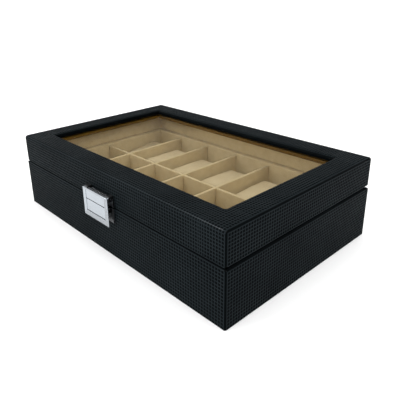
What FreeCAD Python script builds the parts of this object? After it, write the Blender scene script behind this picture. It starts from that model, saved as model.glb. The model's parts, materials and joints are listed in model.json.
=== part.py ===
import FreeCAD, Part

import os

import Sketcher

# A glass-topped presentation box for twelve watches, in millimetres. X runs along the length, the front
# with the clasp faces -Y, and +Z is up. The origin is the middle of the underside.

DIMENSIONS = {
    "box_length": 305.0,  # outside of the base, left to right
    "box_width": 200.0,  # outside of the base, front to back
    "box_height": 81.0,  # underside to the top of the lid
    "rim_height": 51.0,  # underside to the top of the base's rim
    "seam_gap": 0.4,  # between the base's rim and the closed lid
    "lid_inset": 0.5,  # the lid stands this far inside the base all round
    "leather": 1.0,  # thickness of the covering
    "corner_round": 2.6,  # upright outer corners
    "lid_round": 2.4,  # outer top edge of the lid
    "rim_round": 1.2,  # outer top edge of the base
    "window_corner": 3.0,  # corners of the window
    "window_round": 1.2,  # top edge round the window
    "wall_board": 9.0,  # fibreboard of the base's walls
    "lid_board": 6.0,  # fibreboard of the lid's top frame
    "bottom_board": 4.0,
    "felt": 0.9,
    "hem_rise": 0.2,  # the covering's hem stands this far above the felt's underside
    "hem_width": 14.0,  # the covering is turned under the bottom by this much
    "floor_pad": 2.0,
    "base_liner": 7.5,
    "base_liner_drop": 0.1,  # from the rim down to the top of the base's liners
    "lid_liner": 2.5,
    "lid_liner_rise": 0.1,  # from the lid's rim up to the bottom of its liners
    "window_margin_side": 24.4,  # outside of the box to the window, left and right
    "window_margin_front": 25.6,  # the same, front and back
    "window_depth": 5.0,  # top of the lid down to the glass
    "glass": 2.0,
    "glass_overlap": 5.6,  # the glass runs this far under the frame
    "glass_slack": 0.3,
    "bead": 3.5,  # thickness of the strips that hold the glass
    "divider": 3.0,
    "divider_top": 48.5,
    "divider_pitch": 47.0,
    "lap_slack": 0.1,
    "pillow_slack": 0.4,
    "pillow_length": 60.0,
    "pillow_thickness": 33.0,
    "pillow_middle": 45.0,  # from the long divider's middle to the pillow's middle
    "pillow_lift": 0.3,
    "pillow_round": 11.0,
    "pillow_soft": 3.0,
    "hinge_inset": 3.0,  # from the back of the box in to the hinge line
    "bevel_angle": 50.0,  # of both back edges, below and above the seam
    "bevel_reach": 12.0,
    "hinge_spread": 190.0,  # middle to middle
    "hinge_length": 32.0,
    "hinge_knuckle": 2.0,
    "hinge_pin": 0.8,
    "hinge_bore_fixed": 0.82,
    "hinge_bore_free": 0.85,
    "hinge_middle": 12.0,  # length of the lid's knuckle
    "hinge_play": 0.3,
    "hinge_leaf": 1.0,
    "hinge_mortise": 2.4,  # radius of the groove that clears the knuckles
    "screw_head": 1.6,
    "screw_shank": 0.8,
    "screw_length": 7.0,
    "screw_slack": 0.05,
    "screw_spread": 20.0,
    "clasp_width": 39.6,
    "clasp_top": 62.2,
    "clasp_bottom": 34.7,
    "clasp_plate": 1.2,
    "flap_plate": 1.0,
    "flap_play": 0.3,
    "flap_round": 0.4,
    "flap_panel_width": 30.6,
    "flap_panel_depth": 0.35,
    "flap_groove": 0.8,
    "flap_groove_depth": 0.6,
    "flap_groove_middle": 51.9,
    "flap_groove_low": 40.2,
    "flap_panel_top": 60.8,
    "clasp_axis_out": 3.1,  # from the front of the base out to the clasp's pin
    "clasp_axis_height": 60.6,
    "clasp_pin": 0.7,
    "clasp_bore_free": 0.75,
    "clasp_bore_fixed": 0.72,
    "clasp_barrel": 1.4,
    "clasp_ear": 2.3,
    "clasp_ear_width": 5.0,
    "lid_plate_bottom": 52.0,
    "catch_top": 50.6,
    "catch_bottom": 37.0,
    "catch_bar": 1.4,
    "catch_bar_height": 44.0,
    "catch_bar_width": 30.0,
    "snap_gap": 0.4,
    "snap_height": 42.0,
    "snap_thick": 1.2,
    "nail_head": 1.3,
    "nail_head_thick": 0.5,
    "nail_shank": 0.6,
    "nail_length": 6.0,
    "nail_spread": 24.0,
    "lid_nail_height": 55.6,
    "catch_nail_height": 48.0,
    "past": 5.0,  # how far a cutting shape runs past what it cuts
}

CELL_COLUMNS = 6

doc = FreeCAD.newDocument("watch_box")
sheet = doc.addObject("Spreadsheet::Sheet", "dims")
for row, (alias, value) in enumerate(DIMENSIONS.items(), start=1):
    sheet.set(f"A{row}", alias)
    sheet.set(f"B{row}", str(value))
    sheet.setAlias(f"B{row}", alias)
doc.recompute()


def minus(value):
    return f"-({value})"


def both(half):
    """From minus to plus a half size."""
    return (minus(half), half)


def flip(pair):
    """The same stretch on the other side of the middle."""
    return (minus(pair[1]), minus(pair[0]))


# Places that several parts share, as expressions on the sheet.
BASE_X = "(dims.box_length / 2)"
BASE_Y = "(dims.box_width / 2)"
WALL_X = f"({BASE_X} - dims.leather)"
WALL_Y = f"({BASE_Y} - dims.leather)"
CAVITY_X = f"({WALL_X} - dims.wall_board)"
CAVITY_Y = f"({WALL_Y} - dims.wall_board)"
CELL_X = f"({CAVITY_X} - dims.base_liner)"
CELL_Y = f"({CAVITY_Y} - dims.base_liner)"
LID_X = f"({BASE_X} - dims.lid_inset)"
LID_Y = f"({BASE_Y} - dims.lid_inset)"
LID_WALL_X = f"({LID_X} - dims.leather)"
LID_WALL_Y = f"({LID_Y} - dims.leather)"
LID_FACE_X = f"({CAVITY_X} - dims.lid_liner)"
LID_FACE_Y = f"({CAVITY_Y} - dims.lid_liner)"
WINDOW_X = f"({BASE_X} - dims.window_margin_side)"
WINDOW_Y = f"({BASE_Y} - dims.window_margin_front)"
FRAME_X = f"({WINDOW_X} + dims.leather)"
FRAME_Y = f"({WINDOW_Y} + dims.leather)"
GLASS_X = f"({WINDOW_X} + dims.glass_overlap)"
GLASS_Y = f"({WINDOW_Y} + dims.glass_overlap)"

BOARD_LOW = "(dims.felt)"
FLOOR_Z = "(dims.felt + dims.bottom_board)"
CELL_Z = f"({FLOOR_Z} + dims.floor_pad)"
WALL_TOP = "(dims.rim_height - dims.leather)"
LINER_TOP = "(dims.rim_height - dims.base_liner_drop)"
LID_LOW = "(dims.rim_height + dims.seam_gap)"
LID_WALL_LOW = f"({LID_LOW} + dims.leather)"
GLASS_TOP = "(dims.box_height - dims.window_depth)"
GLASS_LOW = f"({GLASS_TOP} - dims.glass)"
BEAD_LOW = f"({GLASS_LOW} - dims.bead)"
LID_WALL_TOP = "(dims.box_height - dims.leather - dims.lid_board)"
LID_BOARD_TOP = "(dims.box_height - dims.leather)"
SEAM_Z = "(dims.rim_height + dims.seam_gap / 2)"
HINGE_Y = f"({BASE_Y} - dims.hinge_inset)"

CLASP_X = "(dims.clasp_width / 2)"
CLASP_Y = f"(-{BASE_Y} - dims.clasp_axis_out)"
FLAP_BACK = f"({CLASP_Y} - dims.clasp_ear - dims.flap_play)"
FLAP_FRONT = f"({FLAP_BACK} - dims.flap_plate)"
LID_PLATE_FRONT = f"(-{LID_Y} - dims.clasp_plate)"
CATCH_FRONT = f"(-{BASE_Y} - dims.clasp_plate)"

UP = FreeCAD.Vector(0, 0, 1)
ALONG = FreeCAD.Vector(1, 0, 0)
ACROSS = FreeCAD.Vector(0, 1, 0)

nodes = []


def node(item, name):
    """Names a finished sub-part."""
    item.Label = name
    nodes.append(item)
    return item


def block(label, x, y, z):
    """A box between the given low and high expressions on each axis."""
    item = doc.addObject("Part::Box", label)
    for size, axis, (low, high) in zip(("Length", "Width", "Height"), "xyz", (x, y, z)):
        item.setExpression(size, f"({high}) - ({low})")
        item.setExpression(f"Placement.Base.{axis}", low)
    return item


def rod(label, radius, x, y, z):
    """A cylinder along X."""
    item = doc.addObject("Part::Cylinder", label)
    item.Placement = FreeCAD.Placement(FreeCAD.Vector(), FreeCAD.Rotation(ACROSS, 90))
    item.setExpression("Radius", radius)
    item.setExpression("Height", f"({x[1]}) - ({x[0]})")
    for axis, place in zip("xyz", (x[0], y, z)):
        item.setExpression(f"Placement.Base.{axis}", place)
    return item


def cut(label, base, *tools):
    tool = tools[0] if len(tools) == 1 else fuse(f"{label}_tool", *tools)
    item = doc.addObject("Part::Cut", label)
    item.Base = base
    item.Tool = tool
    return item


def fuse(label, *pieces):
    item = doc.addObject("Part::MultiFuse", label)
    item.Shapes = list(pieces)
    item.Refine = True
    return item


def group(label, pieces):
    item = doc.addObject("Part::Compound", label)
    item.Links = list(pieces)
    return item


def mirrored(label, source):
    """The same shape on the other side of the seam."""
    item = doc.addObject("Part::Mirroring", label)
    item.Source = source
    item.Normal = UP
    item.setExpression("Base.z", SEAM_Z)
    return item


def rounded(label, base, *choices):
    """Fillets: each choice is a radius and a test that picks the edges."""
    doc.recompute()
    edges = []
    for radius, wanted in choices:
        for number, edge in enumerate(base.Shape.Edges, start=1):
            if wanted(edge):
                edges.append((number, radius, radius))
    item = doc.addObject("Part::Fillet", label)
    item.Base = base
    item.Edges = edges
    return item


def runs(edge, direction):
    first, last = edge.Vertexes[0].Point, edge.Vertexes[-1].Point
    return abs(abs((last - first).normalize().dot(direction)) - 1) < 1e-6


def is_upright(edge):
    return runs(edge, UP)


def lies_at(height):
    return lambda edge: all(abs(vertex.Z - height) < 1e-6 for vertex in edge.Vertexes)


def size(alias):
    """A driving dimension's value, for the few properties that take no expression."""
    return sheet.get(alias)


# ---- Cutting shapes along the hinge line -----------------------------------------------------------


def back_bevel(label, depth):
    """What the bevel takes off the base's back edge; depth moves its face into the board."""
    item = doc.addObject("Part::Box", label)
    item.Placement = FreeCAD.Placement(FreeCAD.Vector(), FreeCAD.Rotation(-ALONG, 1))
    item.setExpression("Placement.Rotation.Angle", "dims.bevel_angle")
    item.setExpression("Length", f"2 * {BASE_X} + 2 * dims.past")
    item.setExpression("Width", "dims.bevel_reach")
    item.setExpression("Height", "dims.bevel_reach")
    item.setExpression("Placement.Base.x", f"-{BASE_X} - dims.past")
    item.setExpression("Placement.Base.y", f"{HINGE_Y} - ({depth}) * sin(dims.bevel_angle)")
    item.setExpression("Placement.Base.z", f"dims.rim_height - ({depth}) * cos(dims.bevel_angle)")
    return item


leather_bevel = back_bevel("leather_bevel", "0")
board_bevel = back_bevel("board_bevel", "dims.leather")
lid_leather_bevel = mirrored("lid_leather_bevel", leather_bevel)
lid_board_bevel = mirrored("lid_board_bevel", board_bevel)

HINGES = {"left": "(-dims.hinge_spread / 2)", "right": "(dims.hinge_spread / 2)"}


def about(centre, half):
    """A stretch either side of a centre."""
    return (f"{centre} - {half}", f"{centre} + {half}")


LEAF_LOW = "(dims.rim_height - dims.hinge_leaf)"
LEAF_HIGH = "dims.rim_height"
LEAF_INNER = f"({CAVITY_Y} + dims.hinge_play)"
LEAF_OUTER = f"({HINGE_Y} - dims.hinge_knuckle - dims.hinge_play)"

mortises = []
base_leaf_recesses = []
for side, centre in HINGES.items():
    reach = about(centre, "(dims.hinge_length / 2 + dims.hinge_play)")
    mortises.append(rod(f"mortise_{side}", "dims.hinge_mortise", reach, HINGE_Y, SEAM_Z))
    base_leaf_recesses.append(
        block(
            f"leaf_recess_{side}",
            reach,
            (f"{CAVITY_Y} - dims.past", HINGE_Y),
            (LEAF_LOW, "dims.rim_height + dims.past"),
        )
    )
mortise = group("hinge_mortise", mortises)
base_leaf_recess = group("base_leaf_recess", base_leaf_recesses)
lid_leaf_recess = mirrored("lid_leaf_recess", base_leaf_recess)


def countersunk_screws(label, slack):
    """Screws down through the base's hinge leaves, or the holes for them when slack is given."""
    screws = []
    for side, centre in HINGES.items():
        for end in (-1, 1):
            name = f"{label}_{side}_{end + 2}"
            place = {
                "x": f"{centre} + {end} * dims.screw_spread / 2",
                "y": f"({LEAF_INNER} + {LEAF_OUTER}) / 2",
            }
            head = doc.addObject("Part::Cone", f"{name}_head")
            head.setExpression("Radius1", f"dims.screw_shank + {slack}")
            head.setExpression("Radius2", f"dims.screw_head + {slack}")
            head.setExpression("Height", "dims.hinge_leaf")
            head.setExpression("Placement.Base.z", LEAF_LOW)
            shank = doc.addObject("Part::Cylinder", f"{name}_shank")
            shank.setExpression("Radius", f"dims.screw_shank + {slack}")
            shank.setExpression("Height", "dims.screw_length")
            shank.setExpression("Placement.Base.z", f"{LEAF_HIGH} - dims.screw_length")
            for item in (head, shank):
                for axis, value in place.items():
                    item.setExpression(f"Placement.Base.{axis}", value)
            screws.append(fuse(name, head, shank))
    return group(label, screws)


base_screws = countersunk_screws("base_hinge_screws", "0")
base_screw_holes = countersunk_screws("base_hinge_screw_holes", "dims.screw_slack")
lid_screws = mirrored("lid_hinge_screws", base_screws)
lid_screw_holes = mirrored("lid_hinge_screw_holes", base_screw_holes)


def round_head_nails(label, front, height, slack):
    """Two nails into the front of the box, behind the clasp, or the holes for them."""
    nails = []
    for end in (-1, 1):
        nail = []
        for kind, radius, length, start in (
            ("head", "dims.nail_head", "dims.nail_head_thick", f"{front} - dims.nail_head_thick"),
            ("shank", "dims.nail_shank", "dims.nail_length", front),
        ):
            item = doc.addObject("Part::Cylinder", f"{label}_{kind}_{end + 2}")
            item.Placement = FreeCAD.Placement(FreeCAD.Vector(), FreeCAD.Rotation(ALONG, -90))
            item.setExpression("Radius", f"{radius} + {slack}")
            item.setExpression("Height", length)
            item.setExpression("Placement.Base.x", f"{end} * dims.nail_spread / 2")
            item.setExpression("Placement.Base.y", start)
            item.setExpression("Placement.Base.z", height)
            nail.append(item)
        nails.append(fuse(f"{label}_{end + 2}", *nail))
    return group(label, nails)


lid_nails = round_head_nails("clasp_plate_nails", LID_PLATE_FRONT, "dims.lid_nail_height", "0")
catch_nails = round_head_nails("clasp_catch_nails", CATCH_FRONT, "dims.catch_nail_height", "0")
slack = "dims.screw_slack"
lid_nail_holes = round_head_nails("lid_nail_holes", LID_PLATE_FRONT, "dims.lid_nail_height", slack)
catch_nail_holes = round_head_nails(
    "catch_nail_holes", CATCH_FRONT, "dims.catch_nail_height", slack
)

# ---- Base: felt, boards, covering, lining ----------------------------------------------------------

hem_x = both(f"({WALL_X} - dims.hem_width)")
hem_y = both(f"({WALL_Y} - dims.hem_width)")
node(block("underside_felt", hem_x, hem_y, ("0", BOARD_LOW)), "underside_felt")
bottom = block("bottom_panel", both(WALL_X), both(WALL_Y), (BOARD_LOW, FLOOR_Z))
node(bottom, "bottom_panel")

wall_z = (FLOOR_Z, WALL_TOP)
front_y = (minus(WALL_Y), minus(CAVITY_Y))
side_x = (CAVITY_X, WALL_X)
base_front = block("base_front_board", both(WALL_X), front_y, wall_z)
base_back = block("base_back_board", both(WALL_X), flip(front_y), wall_z)
node(cut("base_front_wall", base_front, catch_nail_holes), "base_front_wall")
node(cut("base_back_wall", base_back, board_bevel, mortise, base_screw_holes), "base_back_wall")
node(block("base_right_wall", side_x, both(CAVITY_Y), wall_z), "base_right_wall")
node(block("base_left_wall", flip(side_x), both(CAVITY_Y), wall_z), "base_left_wall")

base_outer = block("base_outer", both(BASE_X), both(BASE_Y), ("dims.hem_rise", "dims.rim_height"))
base_upright = rounded("base_upright", base_outer, (size("corner_round"), is_upright))
base_shell = rounded(
    "base_shell",
    base_upright,
    (size("rim_round"), lies_at(size("rim_height"))),
    (size("rim_round") / 2, lies_at(size("hem_rise"))),
)
base_boards = block("base_boards", both(WALL_X), both(WALL_Y), (BOARD_LOW, WALL_TOP))
base_covering = cut(
    "base_covering",
    base_shell,
    cut("base_boards_bevelled", base_boards, board_bevel),
    block("base_mouth", both(CAVITY_X), both(CAVITY_Y), (FLOOR_Z, "dims.rim_height + dims.past")),
    block("base_hem_mouth", hem_x, hem_y, ("-dims.past", FLOOR_Z)),
    leather_bevel,
    mortise,
    base_leaf_recess,
    catch_nail_holes,
)
node(base_covering, "base_leather_wrap")

node(block("floor_pad", both(CAVITY_X), both(CAVITY_Y), (FLOOR_Z, CELL_Z)), "floor_pad")
liner_z = (CELL_Z, LINER_TOP)
liner_y = (CELL_Y, CAVITY_Y)
liner_x = (CELL_X, CAVITY_X)
node(block("base_liner_back", both(CAVITY_X), liner_y, liner_z), "base_liner_back")
node(block("base_liner_front", both(CAVITY_X), flip(liner_y), liner_z), "base_liner_front")
node(block("base_liner_right", liner_x, both(CELL_Y), liner_z), "base_liner_right")
node(block("base_liner_left", flip(liner_x), both(CELL_Y), liner_z), "base_liner_left")

# ---- Dividers, halved into each other, and the pillows between them --------------------------------

HALF_DIVIDER = "(dims.divider / 2)"
LAP = f"({HALF_DIVIDER} + dims.lap_slack)"
LAP_Z = f"(({CELL_Z} + dims.divider_top) / 2)"
divider_z = (CELL_Z, "dims.divider_top")
cross_places = [f"({step - CELL_COLUMNS / 2} * dims.divider_pitch)" for step in range(1, CELL_COLUMNS)]

laps = [
    block(f"lap_{number}", about(place, LAP), both(CELL_Y), (LAP_Z, "dims.divider_top + dims.past"))
    for number, place in enumerate(cross_places, start=1)
]
long_board = block("long_divider_board", both(CELL_X), both(HALF_DIVIDER), divider_z)
node(cut("long_divider", long_board, group("long_divider_laps", laps)), "long_divider")
for number, place in enumerate(cross_places, start=1):
    name = f"cross_divider_{number}"
    board = block(f"{name}_board", about(place, HALF_DIVIDER), both(CELL_Y), divider_z)
    lap = block(f"{name}_lap", both(CELL_X), both(LAP), (f"{CELL_Z} - dims.past", LAP_Z))
    node(cut(name, board, lap), name)


def pillow(name, low, high, middle):
    """A soft block between two dividers, rounded along its length."""
    body = doc.addObject("PartDesign::Body", name)
    sketch = body.newObject("Sketcher::SketchObject", f"{name}_profile")
    plane = next(f for f in body.Origin.OriginFeatures if f.Role == "YZ_Plane")
    sketch.AttachmentSupport = [(plane, "")]
    sketch.MapMode = "FlatFace"
    points = [FreeCAD.Vector(*p) for p in ((-1, -1), (1, -1), (1, 1), (-1, 1))]
    for start, end in zip(points, points[1:] + points[:1]):
        sketch.addGeometry(Part.LineSegment(start, end))
    for line in range(4):
        sketch.addConstraint(Sketcher.Constraint("Coincident", line, 2, (line + 1) % 4, 1))
    for line, kind in enumerate(("Horizontal", "Vertical", "Horizontal", "Vertical")):
        sketch.addConstraint(Sketcher.Constraint(kind, line))
    sketch.addConstraint(Sketcher.Constraint("Symmetric", 0, 1, 2, 1, -1, 1))
    for kind, line, alias in (("DistanceX", 0, "pillow_length"), ("DistanceY", 1, "pillow_thickness")):
        index = sketch.addConstraint(Sketcher.Constraint(kind, line, 1, line, 2, size(alias)))
        sketch.setExpression(f"Constraints[{index}]", f"dims.{alias}")
    pad = body.newObject("PartDesign::Pad", f"{name}_pad")
    pad.Profile = sketch
    pad.Midplane = True
    pad.setExpression("Length", f"({high}) - ({low}) - 2 * dims.pillow_slack")
    doc.recompute()
    previous = pad
    for radius, wanted in (("pillow_round", lambda e: runs(e, ALONG)), ("pillow_soft", is_end_edge)):
        chosen = [f"Edge{n}" for n, e in enumerate(previous.Shape.Edges, start=1) if wanted(e)]
        smooth = body.newObject("PartDesign::Fillet", f"{name}_{radius}")
        smooth.Base = (previous, chosen)
        smooth.setExpression("Radius", f"dims.{radius}")
        doc.recompute()
        previous = smooth
    body.setExpression("Placement.Base.x", f"(({low}) + ({high})) / 2")
    body.setExpression("Placement.Base.y", middle)
    body.setExpression(
        "Placement.Base.z", f"{CELL_Z} + dims.pillow_lift + dims.pillow_thickness / 2"
    )
    return body


def is_end_edge(edge):
    """Edges of a pillow that lie in one of its two ends."""
    xs = [vertex.X for vertex in edge.Vertexes]
    return max(xs) - min(xs) < 1e-6


column_sides = [minus(CELL_X)]
for place in cross_places:
    column_sides += [f"{place} - {HALF_DIVIDER}", f"{place} + {HALF_DIVIDER}"]
column_sides.append(CELL_X)
for row_name, middle in (("front", "-dims.pillow_middle"), ("back", "dims.pillow_middle")):
    for column in range(CELL_COLUMNS):
        name = f"pillow_{row_name}_{column + 1}"
        node(pillow(name, column_sides[2 * column], column_sides[2 * column + 1], middle), name)

# ---- Lid: boards, covering, glass, lining ----------------------------------------------------------

lid_wall_z = (LID_WALL_LOW, LID_WALL_TOP)
lid_back_y = (CAVITY_Y, LID_WALL_Y)
lid_side_x = (CAVITY_X, LID_WALL_X)
lid_front = block("lid_front_board", both(LID_WALL_X), flip(lid_back_y), lid_wall_z)
lid_back = block("lid_back_board", both(LID_WALL_X), lid_back_y, lid_wall_z)
node(cut("lid_front_wall", lid_front, lid_nail_holes), "lid_front_wall")
node(cut("lid_back_wall", lid_back, lid_board_bevel, mortise, lid_screw_holes), "lid_back_wall")
node(block("lid_right_wall", lid_side_x, both(CAVITY_Y), lid_wall_z), "lid_right_wall")
node(block("lid_left_wall", flip(lid_side_x), both(CAVITY_Y), lid_wall_z), "lid_left_wall")

frame_board = block(
    "lid_frame_board", both(LID_WALL_X), both(LID_WALL_Y), (LID_WALL_TOP, LID_BOARD_TOP)
)
through = ("dims.rim_height", "dims.box_height + dims.past")
frame_hole = block("frame_hole", both(FRAME_X), both(FRAME_Y), through)
frame_corner = size("window_corner") + size("leather")
frame_opening = rounded("frame_opening", frame_hole, (frame_corner, is_upright))
glass_seat = block(
    "glass_seat",
    both(f"({GLASS_X} + dims.glass_slack)"),
    both(f"({GLASS_Y} + dims.glass_slack)"),
    ("dims.rim_height", GLASS_TOP),
)
node(cut("lid_top_frame", frame_board, frame_opening, glass_seat), "lid_top_frame")

lid_outer = block("lid_outer", both(LID_X), both(LID_Y), (LID_LOW, "dims.box_height"))
lid_upright = rounded("lid_upright", lid_outer, (size("corner_round"), is_upright))
lid_shell = rounded(
    "lid_shell",
    lid_upright,
    (size("lid_round"), lies_at(size("box_height"))),
    (size("rim_round"), lies_at(size("rim_height") + size("seam_gap"))),
)
window_hole = block("window_hole", both(WINDOW_X), both(WINDOW_Y), through)
window_opening = rounded("window_opening", window_hole, (size("window_corner"), is_upright))
lid_pierced = cut("lid_pierced", lid_shell, window_opening)


def is_window_edge(edge):
    inside = all(abs(vertex.X) < size("box_length") / 2 - size("window_margin_side") + 1e-3
                 for vertex in edge.Vertexes)
    return inside and lies_at(size("box_height"))(edge)


lid_soft = rounded("lid_soft", lid_pierced, (size("window_round"), is_window_edge))
lid_boards = block("lid_boards", both(LID_WALL_X), both(LID_WALL_Y), (LID_WALL_LOW, LID_BOARD_TOP))
lid_boards_ring = cut("lid_boards_ring", lid_boards, frame_opening, lid_board_bevel)
lid_covering = cut(
    "lid_covering",
    lid_soft,
    lid_boards_ring,
    block("lid_mouth", both(CAVITY_X), both(CAVITY_Y), ("0", GLASS_TOP)),
    lid_leather_bevel,
    mortise,
    lid_leaf_recess,
    lid_nail_holes,
)
node(lid_covering, "lid_leather_wrap")

node(block("glass_panel", both(GLASS_X), both(GLASS_Y), (GLASS_LOW, GLASS_TOP)), "glass_panel")
bead_z = (BEAD_LOW, GLASS_LOW)
bead_y = (WINDOW_Y, LID_FACE_Y)
bead_x = (WINDOW_X, LID_FACE_X)
node(block("glass_bead_back", both(LID_FACE_X), bead_y, bead_z), "glass_bead_back")
node(block("glass_bead_front", both(LID_FACE_X), flip(bead_y), bead_z), "glass_bead_front")
node(block("glass_bead_right", bead_x, both(WINDOW_Y), bead_z), "glass_bead_right")
node(block("glass_bead_left", flip(bead_x), both(WINDOW_Y), bead_z), "glass_bead_left")

lid_liner_z = (f"{LID_LOW} + dims.lid_liner_rise", LID_WALL_TOP)
lid_liner_y = (LID_FACE_Y, CAVITY_Y)
lid_liner_x = (LID_FACE_X, CAVITY_X)
node(block("lid_liner_back", both(CAVITY_X), lid_liner_y, lid_liner_z), "lid_liner_back")
node(block("lid_liner_front", both(CAVITY_X), flip(lid_liner_y), lid_liner_z), "lid_liner_front")
node(block("lid_liner_right", lid_liner_x, both(LID_FACE_Y), lid_liner_z), "lid_liner_right")
node(block("lid_liner_left", flip(lid_liner_x), both(LID_FACE_Y), lid_liner_z), "lid_liner_left")

# ---- Hinges ----------------------------------------------------------------------------------------

FREE = "(dims.hinge_middle / 2)"
FIXED = "(dims.hinge_middle / 2 + dims.hinge_play)"
END = "(dims.hinge_length / 2)"
lid_leaf_z = (LID_LOW, f"{LID_LOW} + dims.hinge_leaf")


def leaf(name, centre, knuckles, bore, thickness, holes):
    """A hinge leaf with its knuckles, bored for the pin and drilled for the screws."""
    pieces = [block(f"{name}_plate", about(centre, END), (LEAF_INNER, LEAF_OUTER), thickness)]
    for number, reach in enumerate(knuckles):
        pieces.append(rod(f"{name}_knuckle_{number}", "dims.hinge_knuckle", reach, HINGE_Y, SEAM_Z))
        web_y = (f"{LEAF_OUTER} - dims.hinge_play", HINGE_Y)
        pieces.append(block(f"{name}_web_{number}", reach, web_y, thickness))
    whole = fuse(f"{name}_whole", *pieces)
    past_end = f"({END} + dims.past)"
    drill = rod(f"{name}_drill", bore, about(centre, past_end), HINGE_Y, SEAM_Z)
    return node(cut(name, whole, drill, holes), name)


for side, centre in HINGES.items():
    base_knuckles = [
        (f"{centre} - {END}", f"{centre} - {FIXED}"),
        (f"{centre} + {FIXED}", f"{centre} + {END}"),
    ]
    leaf(
        f"hinge_base_leaf_{side}",
        centre,
        base_knuckles,
        "dims.hinge_bore_fixed",
        (LEAF_LOW, LEAF_HIGH),
        base_screw_holes,
    )
    leaf(
        f"hinge_lid_leaf_{side}",
        centre,
        [about(centre, FREE)],
        "dims.hinge_bore_free",
        lid_leaf_z,
        lid_screw_holes,
    )
    pin = rod(f"hinge_pin_{side}", "dims.hinge_pin", about(centre, END), HINGE_Y, SEAM_Z)
    node(pin, f"hinge_pin_{side}")
node(base_screws, "hinge_base_screws")
node(lid_screws, "hinge_lid_screws")

# ---- Clasp -----------------------------------------------------------------------------------------

EAR_INNER = f"({CLASP_X} - dims.clasp_ear_width)"
BARREL_END = f"({EAR_INNER} - dims.flap_play)"
AXIS_Z = "dims.clasp_axis_height"

plate_z = ("dims.lid_plate_bottom", AXIS_Z)
plate = block("clasp_plate_board", both(CLASP_X), (LID_PLATE_FRONT, minus(LID_Y)), plate_z)
plate_pieces = [plate]
for side, reach in (("right", (EAR_INNER, CLASP_X)), ("left", flip((EAR_INNER, CLASP_X)))):
    plate_pieces.append(rod(f"clasp_ear_{side}", "dims.clasp_ear", reach, CLASP_Y, AXIS_Z))
    arm_z = (AXIS_Z, f"{AXIS_Z} + dims.clasp_ear")
    plate_pieces.append(block(f"clasp_arm_{side}", reach, (CLASP_Y, minus(LID_Y)), arm_z))
plate_whole = fuse("clasp_plate_whole", *plate_pieces)
pin_reach = both(f"({CLASP_X} + dims.past)")
fixed_drill = rod("clasp_fixed_drill", "dims.clasp_bore_fixed", pin_reach, CLASP_Y, AXIS_Z)
node(cut("clasp_lid_plate", plate_whole, fixed_drill, lid_nail_holes), "clasp_lid_plate")
node(rod("clasp_pin", "dims.clasp_pin", both(CLASP_X), CLASP_Y, AXIS_Z), "clasp_pin")
node(lid_nails, "clasp_plate_nails")

catch_z = ("dims.catch_bottom", "dims.catch_top")
catch_board = block("clasp_catch_board", both(CLASP_X), (CATCH_FRONT, minus(BASE_Y)), catch_z)
catch_bar = rod(
    "clasp_catch_bar",
    "dims.catch_bar",
    both("(dims.catch_bar_width / 2)"),
    f"{CATCH_FRONT} - dims.snap_gap",
    "dims.catch_bar_height",
)
catch_whole = fuse("clasp_catch_whole", catch_board, catch_bar)
inside_front = block(
    "clasp_inside_front", both(CLASP_X), (minus(BASE_Y), "0"), ("0", "dims.box_height")
)
node(cut("clasp_catch_plate", catch_whole, inside_front, catch_nail_holes), "clasp_catch_plate")
node(catch_nails, "clasp_catch_nails")

flap_z = ("dims.clasp_bottom", "dims.clasp_top")
flap_board = block("flap_board", both(CLASP_X), (FLAP_FRONT, FLAP_BACK), flap_z)
doc.recompute()
flap_face_y = flap_board.Placement.Base.y


def is_face_edge(edge):
    return all(abs(vertex.Y - flap_face_y) < 1e-6 for vertex in edge.Vertexes)


flap_soft = rounded("flap_soft", flap_board, (size("flap_round"), is_face_edge))
flap_barrel = rod("flap_barrel", "dims.clasp_barrel", both(BARREL_END), CLASP_Y, AXIS_Z)
flap_web = block(
    "flap_web",
    both(BARREL_END),
    (f"{FLAP_BACK} - dims.flap_plate / 2", CLASP_Y),
    about(AXIS_Z, "dims.flap_plate / 2"),
)
snap_y = (FLAP_BACK, f"{CATCH_FRONT} - dims.snap_gap - dims.catch_bar - dims.snap_gap")
flap_snap = block(
    "flap_snap",
    both("(dims.catch_bar_width / 2)"),
    snap_y,
    about("dims.snap_height", "dims.snap_thick / 2"),
)
flap_whole = fuse("flap_whole", flap_soft, flap_barrel, flap_web, flap_snap)
panel_x = both("(dims.flap_panel_width / 2)")
panel_y = (f"{FLAP_FRONT} - dims.past", f"{FLAP_FRONT} + dims.flap_panel_depth")
flap_panel = block(
    "flap_panel", panel_x, panel_y, ("dims.flap_groove_low", "dims.flap_panel_top")
)
groove_y = (f"{FLAP_FRONT} - dims.past", f"{FLAP_FRONT} + dims.flap_groove_depth")
grooves = [
    block(f"flap_{name}", panel_x, groove_y, about(f"dims.{name}", "dims.flap_groove / 2"))
    for name in ("flap_groove_middle", "flap_groove_low")
]
free_drill = rod("clasp_free_drill", "dims.clasp_bore_free", pin_reach, CLASP_Y, AXIS_Z)
node(cut("clasp_flap", flap_whole, flap_panel, *grooves, free_drill), "clasp_flap")

# ---- Checks and files ------------------------------------------------------------------------------

doc.recompute()
for item in doc.Objects:
    if "Invalid" in item.State or "Error" in item.State:
        raise RuntimeError(f"{item.Label} failed: {item.State}")
for item in nodes:
    if item.Shape.isNull() or not item.Shape.isValid() or not item.Shape.Solids:
        raise RuntimeError(f"{item.Label} has no valid solid")

os.makedirs("parts", exist_ok=True)
for item in nodes:
    item.Shape.exportStep(f"parts/{item.Label}.step")
    print(f"{item.Label}: {len(item.Shape.Solids)} solid(s), {item.Shape.Volume / 1000:.2f} cm3")
print(f"{len(nodes)} nodes")
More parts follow.
